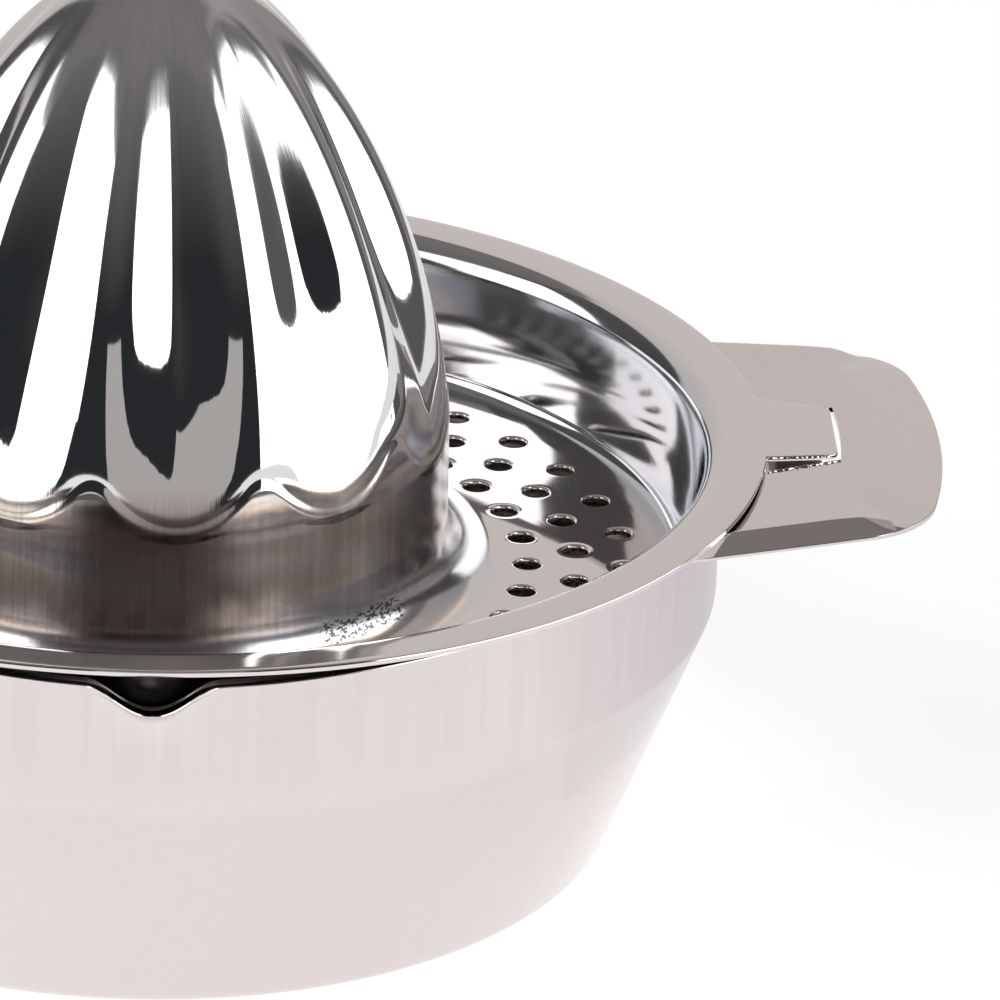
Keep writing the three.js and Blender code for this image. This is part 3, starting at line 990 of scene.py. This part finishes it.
class Nodes:
    """Short calls for building the node tree of a material or a world."""

    def __init__(self, owner):
        owner.use_nodes = True
        self.owner = owner
        self.tree = owner.node_tree
        self.tree.nodes.clear()

    def node(self, kind, inputs, **settings):
        """A node with its settings, and with its inputs, by name or number, linked or set."""
        made = self.tree.nodes.new(kind)
        for key, value in settings.items():
            setattr(made, key, value)
        for key, value in inputs.items():
            if isinstance(value, bpy.types.NodeSocket):
                self.tree.links.new(value, made.inputs[key])
            else:
                made.inputs[key].default_value = value
        return made

    def output(self, shader, kind="ShaderNodeOutputMaterial"):
        self.node(kind, {"Surface": shader.outputs[0]})

    def math(self, operation, *values):
        return self.node("ShaderNodeMath", dict(enumerate(values)), operation=operation).outputs[0]

    def times(self, first, *others):
        for other in others:
            first = self.math("MULTIPLY", first, other)
        return first

    def total(self, first, *parts):
        """A value plus each part, a mask and its amount."""
        for mask, amount in parts:
            first = self.math("ADD", first, self.times(mask, amount))
        return first

    def without(self, mask):
        return self.math("SUBTRACT", 1.0, mask)

    def mix(self, share, first, second, blend_type="MIX"):
        inputs = {"Factor": share, "A": first, "B": second}
        made = self.node("ShaderNodeMix", inputs, data_type="RGBA", blend_type=blend_type)
        return made.outputs["Result"]

    def spread(self, value, low, high, from_low=0.3, from_high=0.7):
        limits = {"From Min": from_low, "From Max": from_high, "To Min": low, "To Max": high}
        return self.node("ShaderNodeMapRange", {"Value": value, **limits}).outputs["Result"]

    def rise(self, length, edge, low=0.0):
        """From low before an edge to 1 past it."""
        return self.spread(length, low, 1.0, edge[0] * MM, edge[1] * MM)

    def fall(self, length, edge):
        """From 1 before an edge to 0 past it."""
        return self.spread(length, 1.0, 0.0, edge[0] * MM, edge[1] * MM)

    def patch(self, turn, patch):
        middle, full, gone, strength = patch
        away = self.math("ABSOLUTE", self.math("SUBTRACT", turn, middle))
        return self.spread(away, strength, 0.0, full, gone)

    def place(self):
        """Place, and its x, y and z."""
        place = self.node("ShaderNodeTexCoord", {}).outputs["Object"]
        return (place, *self.node("ShaderNodeSeparateXYZ", {0: place}).outputs)

    def cylinder(self):
        """Place, turn about the axis, distance from it, and height."""
        place, x, y, z = self.place()
        turn = self.math("ARCTAN2", x, self.times(y, -1.0))
        radius = self.math("SQRT", self.math("ADD", self.times(x, x), self.times(y, y)))
        return place, turn, radius, z

    def noise(self, vector, scale, detail=3.0, roughness=0.55):
        inputs = {"Vector": vector, "Scale": scale, "Detail": detail, "Roughness": roughness}
        return self.node("ShaderNodeTexNoise", inputs).outputs["Fac"]

    def streaks(self, form, counts, **settings):
        """Noise that is fine around the axis and long up the form, or the other way round."""
        place, turn, radius, height = form
        per_radian, per_metre = counts
        parts = (self.times(turn, per_radian), self.times(height, per_metre), self.times(radius, per_metre))
        run = self.node("ShaderNodeCombineXYZ", dict(enumerate(parts)))
        return self.noise(run.outputs[0], 1.0, **settings)

    def bump(self, height, depth, normal=None):
        inputs = {"Height": height, "Distance": depth * MM}
        if normal is not None:
            inputs["Normal"] = normal
        return self.node("ShaderNodeBump", inputs).outputs["Normal"]


def steel_shader(n, colour, line_light, lines, roughness, normal, colour_layers):
    """Metal with colour layers, each a mask and its colour, which hold both marks on the steel and painted
    shade, and darker lines over them.
    """
    base = (*colour, 1)
    for mask, layer_colour in colour_layers:
        base = n.mix(mask, base, (*layer_colour, 1))
    dark = (line_light, line_light, line_light, 1)
    base = n.mix(lines, base, dark, "MULTIPLY")
    inputs = {"Base Color": base, "Metallic": 1.0, "Roughness": roughness, "Normal": normal}
    n.output(n.node("ShaderNodeBsdfPrincipled", inputs))


def insert_steel():
    """Polished reamer and strainer, brushed upright on the base band and near the crown, with shade painted
    on the band's front and right side.
    """
    n = Nodes(bpy.data.materials.new("insert_steel"))
    form = n.cylinder()
    place, turn, radius, height = form
    on_reamer = n.fall(radius, REAMER_EDGE)
    on_band = n.times(on_reamer, n.fall(height, BAND_TOP))
    on_crown = n.times(on_reamer, n.rise(height, CROWN_START))
    on_ring = n.rise(radius, RING_EDGE)
    on_wall = n.times(n.rise(radius, FLOOR_EDGE), n.without(on_ring))
    upright = n.times(on_band, n.rise(height, BAND_FOOT))
    brushed = n.math("MAXIMUM", upright, n.times(on_crown, CROWN_LINES))
    fine = n.streaks(form, INSERT_FINE, roughness=0.7)
    coarse = n.streaks(form, INSERT_COARSE, detail=2.0)
    dents = n.noise(place, INSERT_DENTS, detail=2.0)
    grain = n.noise(place, INSERT_GRAIN, detail=2.0)
    roughness = n.total(
        INSERT_ROUGHNESS,
        (on_band, BAND_ROUGHNESS),
        (n.times(upright, n.fall(height, SATIN_TOP)), SATIN_ROUGHNESS),
        (on_wall, WALL_ROUGHNESS),
        (on_crown, CROWN_ROUGHNESS),
        (on_ring, RING_ROUGHNESS),
    )
    roughness = n.times(roughness, n.spread(dents, *INSERT_DENT_CHANGE))
    roughness = n.math("ADD", roughness, n.spread(grain, 0.0, GRAIN_ROUGHNESS))
    depth = n.total(POLISHED_LINES, (brushed, 1 - POLISHED_LINES))
    normal = n.bump(n.times(fine, depth, on_reamer), INSERT_FINE_DEPTH)
    normal = n.bump(n.times(coarse, on_reamer), INSERT_COARSE_DEPTH, normal)
    normal = n.bump(dents, INSERT_DENT_DEPTH, normal)
    clouds = n.streaks(form, INSERT_CLOUDS, detail=2.0)
    tan = n.times(on_band, n.spread(clouds, 0.0, CLOUD_STRENGTH, *TAN_PART))
    blue = n.times(on_band, n.spread(clouds, CLOUD_STRENGTH, 0.0, *BLUE_PART))
    pits = n.times(n.streaks(form, INSERT_PITS, detail=1.0), n.rise(height, PITS_FOOT),
                   n.fall(height, PITS_TOP), n.patch(turn, PITS_PATCH))
    # Colour layers: the steel's own colours and marks, and painted shade on the base band's front and right
    # side
    colour_layers = (
        (on_reamer, REAMER_COLOUR),
        (on_wall, WALL_COLOUR),
        (upright, BAND_COLOUR),
        (tan, TAN_STAIN),
        (blue, BLUE_STAIN),
        # Painted shade: a darker column down the front of the base band
        (n.times(n.patch(turn, FRONT_SHADE_PATCH), upright), PAINTED_FRONT_SHADE),
        # Painted shade: the base band's right side made darker
        (n.times(n.patch(turn, SIDE_SHADE_PATCH), upright), PAINTED_SIDE_SHADE),
        (n.times(n.spread(pits, 0.0, 1.0, *PITS_PART), on_reamer), PIT_STAIN),
    )
    lines = n.times(brushed, n.spread(fine, LINE_DARKNESS, 0.0))
    steel_shader(n, INSERT_COLOUR, INSERT_LINE_LIGHT, lines, roughness, normal, colour_layers)
    return n.owner


def bowl_steel():
    """Satin bowl with upright draw lines on its band and a faint orange peel below, and shade painted on
    its lower cone and under the tongues.
    """
    n = Nodes(bpy.data.materials.new("bowl_steel"))
    form = n.cylinder()
    place, turn, radius, height = form
    off_middle = n.times(radius, n.math("ABSOLUTE", n.math("COSINE", turn)))
    on_handle = n.rise(radius, HANDLE_EDGE)
    on_band = n.times(n.rise(height, BOWL_BAND_FOOT, CONE_LINES), n.without(on_handle))
    # Painted shade: the lower cone is coloured darker
    cone_shade = n.fall(height, CONE_TOP)
    # Painted shadow under each tongue, on the pressed-down shelf beside the slot
    shadow = n.times(n.fall(height, SHADOW_TOP), n.fall(off_middle, SHADOW_SIDE),
                     n.rise(radius, SHADOW_START))
    fine = n.streaks(form, BOWL_FINE, roughness=0.65)
    broad = n.streaks(form, BOWL_BROAD, roughness=0.6)
    peel = n.noise(place, BOWL_PEEL, detail=2.0)
    dents = n.noise(place, BOWL_DENTS, detail=2.0)
    roughness = n.total(BOWL_ROUGHNESS, (on_band, BOWL_BAND_ROUGHNESS), (on_handle, HANDLE_ROUGHNESS))
    roughness = n.times(roughness, n.spread(dents, *BOWL_DENT_CHANGE))
    roughness = n.total(roughness, (shadow, SHADOW_ROUGHNESS))
    normal = n.bump(n.times(fine, on_band), BOWL_FINE_DEPTH)
    normal = n.bump(n.times(broad, on_band), BOWL_BROAD_DEPTH, normal)
    normal = n.bump(peel, BOWL_PEEL_DEPTH, normal)
    streak = n.times(n.spread(broad, STREAK_DULLNESS, 0.0, *STREAK_PART), on_band)
    lines = n.math("MAXIMUM", streak, n.spread(peel, PEEL_DULLNESS, 0.0))
    # Both layers here are painted shade: the darker lower cone and the shadow under the tongues
    colour_layers = ((cone_shade, CONE_PAINTED_SHADE), (shadow, TONGUE_PAINTED_SHADOW))
    steel_shader(n, BOWL_COLOUR, BOWL_LINE_LIGHT, lines, roughness, normal, colour_layers)
    return n.owner


def background_ray(n):
    """1 for rays that may see the white background, 0 for rays that light the object."""
    path = n.node("ShaderNodeLightPath", {})
    seen = n.math("MAXIMUM", path.outputs["Is Camera Ray"], path.outputs["Is Glossy Ray"])
    return n.math("MAXIMUM", seen, path.outputs["Is Transmission Ray"])


def floor():
    sheet = Sheet()
    turns = [2 * math.pi * side / FLOOR_SIDES for side in range(FLOOR_SIDES)]
    sheet.faces.append(tuple(sheet.polar(FLOOR_RADIUS, turn, 0) for turn in turns))
    piece = sheet.make("floor")
    n = Nodes(bpy.data.materials.new("pale_floor"))
    paint = n.node("ShaderNodeBsdfDiffuse", {"Color": (*FLOOR_COLOUR, 1)})
    glow = n.node("ShaderNodeEmission", {"Strength": n.times(background_ray(n), FLOOR_GLOW)})
    n.output(n.node("ShaderNodeAddShader", {0: paint.outputs[0], 1: glow.outputs[0]}))
    piece.data.materials.append(n.owner)


def reflected_card(name, rows, find_share, first, second):
    """A glowing card that only reflections show. Its rows hold (radius, turn, height)."""
    sheet = Sheet()
    sheet.skin([[sheet.polar(*spot) for spot in row] for row in rows], closed=False)
    piece = sheet.make(name)
    n = Nodes(bpy.data.materials.new(name))
    glow = n.mix(find_share(n), (*first, 1), (*second, 1))
    n.output(n.node("ShaderNodeEmission", {"Color": glow}))
    n.owner.cycles.emission_sampling = "NONE"
    piece.data.materials.append(n.owner)
    for ray in ("visible_camera", "visible_diffuse", "visible_shadow", "visible_transmission"):
        setattr(piece, ray, False)


def studio_card(name, turns, rises, radius, low_glow, high_glow):
    """A part of a sphere round the juicer, shaded from its foot to its top."""
    low, high = (math.radians(rise) for rise in rises)
    start, end = (math.radians(turn) for turn in turns)
    across = [lerp(start, end, column / CARD_COLUMNS) for column in range(CARD_COLUMNS + 1)]
    rows = []
    for row in range(CARD_ROWS + 1):
        rise = lerp(low, high, row / CARD_ROWS)
        rows.append([(radius * math.cos(rise), turn, radius * math.sin(rise)) for turn in across])

    def find_share(n):
        return n.rise(n.place()[3], (radius * math.sin(low), radius * math.sin(high)))

    reflected_card(name, rows, find_share, low_glow, high_glow)


def floor_shade():
    """The floor's darker, bluish part at the right, which only the bowl's flank reflects."""
    start, end = SHADE_TURNS
    radii = [lerp(*SHADE_RADII, row / SHADE_ROWS) for row in range(SHADE_ROWS + 1)]
    rows = []
    for column in range(SHADE_COLUMNS + 1):
        turn = lerp(start, end, column / SHADE_COLUMNS)
        rows.append([(radius, turn, SHADE_HEIGHT) for radius in radii])

    def find_share(n):
        turn, radius = n.cylinder()[1:3]
        along = n.times(n.spread(turn, 0.0, 1.0, start, start + SHADE_START_FADE),
                        n.spread(turn, 1.0, 0.0, end - SHADE_END_FADE, end))
        return n.times(along, n.rise(radius, SHADE_INNER_EDGE), n.fall(radius, SHADE_OUTER_EDGE))

    reflected_card("floor_shade", rows, find_share, SHADE_PALE, SHADE_BLUE)


def grey(value):
    return tuple(value * tint for tint in GREY_TINT)


def studio():
    """What the steel reflects: each card's turns and rises in degrees, distance, and glow at both ends."""
    for card in (
        ("room", (-180, 180), (-90, 90), 1700.0, grey(0.95), grey(0.235)),
        ("ceiling", (-180, 180), (46, 90), 1680.0, grey(0.19), grey(0.24)),
        ("back_wall", (150, 222), (-12, 46), 1660.0, grey(0.7), grey(0.66)),
        ("left_back_wall", (-140, -96), (-6, 46), 1660.0, grey(0.08), grey(0.11)),
        ("right_back_wall", (106, 152), (-12, 56), 1660.0, grey(0.2), grey(0.45)),
        ("right_back_gap", (108, 122), (-4, 50), 1640.0, grey(0.12), grey(0.15)),
        ("front_dark", (-50, 44), (-12, 20), 1620.0, BLACK, BLACK),
        ("front_haze", (-50, 46), (20, 62), 1620.0, BLACK, grey(0.2)),
        ("front_panel", (-9, 17), (-14, 16.5), 1600.0, grey(0.5), grey(0.52)),
        ("left_softbox", (-106, -44), (4, 42), 1500.0, WHITE, WHITE),
        ("left_softbox_low", (-62, -46), (-14, 6), 1500.0, WHITE, WHITE),
        ("right_softbox", (40, 107), (-14, 42), 1500.0, WHITE, WHITE),
        ("right_softbox_top", (47, 76), (40, 55), 1510.0, WHITE, WHITE),
    ):
        studio_card(*card)


def lamp(name, turn, rise, distance, width, power):
    """A square light that faces the juicer. Its turn and rise are in degrees."""
    light = bpy.data.lights.new(name, "AREA")
    light.shape = "SQUARE"
    light.size = width * MM
    light.energy = power
    holder = bpy.data.objects.new(name, light)
    azimuth = math.radians(turn)
    elevation = math.radians(rise)
    across = math.cos(elevation)
    way = Vector((across * math.sin(azimuth), -across * math.cos(azimuth), math.sin(elevation)))
    holder.location = way * distance * MM
    holder.rotation_euler = way.to_track_quat("Z", "Y").to_euler()
    holder.visible_glossy = False
    holder.visible_camera = False
    bpy.context.scene.collection.objects.link(holder)


def world():
    """White where the camera or a reflection sees it, and dimmer where it lights."""
    n = Nodes(bpy.data.worlds.new("white_room"))
    strength = n.spread(background_ray(n), ROOM_LIGHT, 1.0, 0.0, 1.0)
    back = n.node("ShaderNodeBackground", {"Color": (1, 1, 1, 1), "Strength": strength})
    n.output(back, "ShaderNodeOutputWorld")
    bpy.context.scene.world = n.owner


def camera():
    """Looks down on the spout side; the frame crops the left handle and the reamer's tip."""
    right = Vector((1, 0, 0))
    down = Vector((0, -math.sin(CAMERA_RISE), -math.cos(CAMERA_RISE)))
    ahead = Vector((0, math.cos(CAMERA_RISE), -math.sin(CAMERA_RISE)))
    rolled_right = right * math.cos(CAMERA_ROLL) + down * math.sin(CAMERA_ROLL)
    rolled_down = down * math.cos(CAMERA_ROLL) - right * math.sin(CAMERA_ROLL)
    to_part = Matrix.Rotation(-CAMERA_TURN, 3, "Z")
    axes = [to_part @ axis for axis in (rolled_right, rolled_down, ahead)]
    across, below = ((pixel - PICTURE_PIXELS / 2) / FOCAL_PIXELS for pixel in RING_CENTRE_PIXEL)
    sight = Vector((across, below, 1)).normalized() * CAMERA_DISTANCE
    to_ring = sum((axis * part for axis, part in zip(axes, sight)), Vector())
    eye = Vector((0, 0, RING_TOP)) - to_ring
    data = bpy.data.cameras.new("camera")
    data.sensor_width = SENSOR_WIDTH
    data.lens = SENSOR_WIDTH * FOCAL_PIXELS / PICTURE_PIXELS
    data.clip_start, data.clip_end = CAMERA_RANGE
    holder = bpy.data.objects.new("camera", data)
    facing = Matrix((axes[0], -axes[1], -axes[2])).transposed()
    holder.matrix_world = Matrix.Translation(eye * MM) @ facing.to_4x4()
    bpy.context.scene.collection.objects.link(holder)
    bpy.context.scene.camera = holder


def juicer():
    bowl = pressed_bowl()
    insert = pressed_insert()
    join(insert, [tongue("tongue_right"), turned(tongue("tongue_left"))], "UNION")
    right, left = slot_burr("slot_burr_right", seed=3), slot_burr("slot_burr_left", seed=5)
    attach(bowl, [right, turned(left)])
    right, left = tongue_burr("tongue_burr_right", seed=7), tongue_burr("tongue_burr_left", seed=11)
    attach(insert, [right, turned(left)])
    for piece, body, node, slot, material in (
        (bowl, "bowl", "bowl", "bowl_steel", bowl_steel()),
        (insert, "insert", "reamer_insert", "insert_steel", insert_steel()),
    ):
        smooth(piece)
        piece.data.materials.clear()
        piece.data.materials.append(material)
        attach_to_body(piece, body)
        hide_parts(node)


camera()
juicer()
floor()
floor_shade()
studio()
world()
lamp("key", turn=-60, rise=48, distance=1450.0, width=1300.0, power=6.0)
bpy.context.scene.view_settings.view_transform = "Standard"
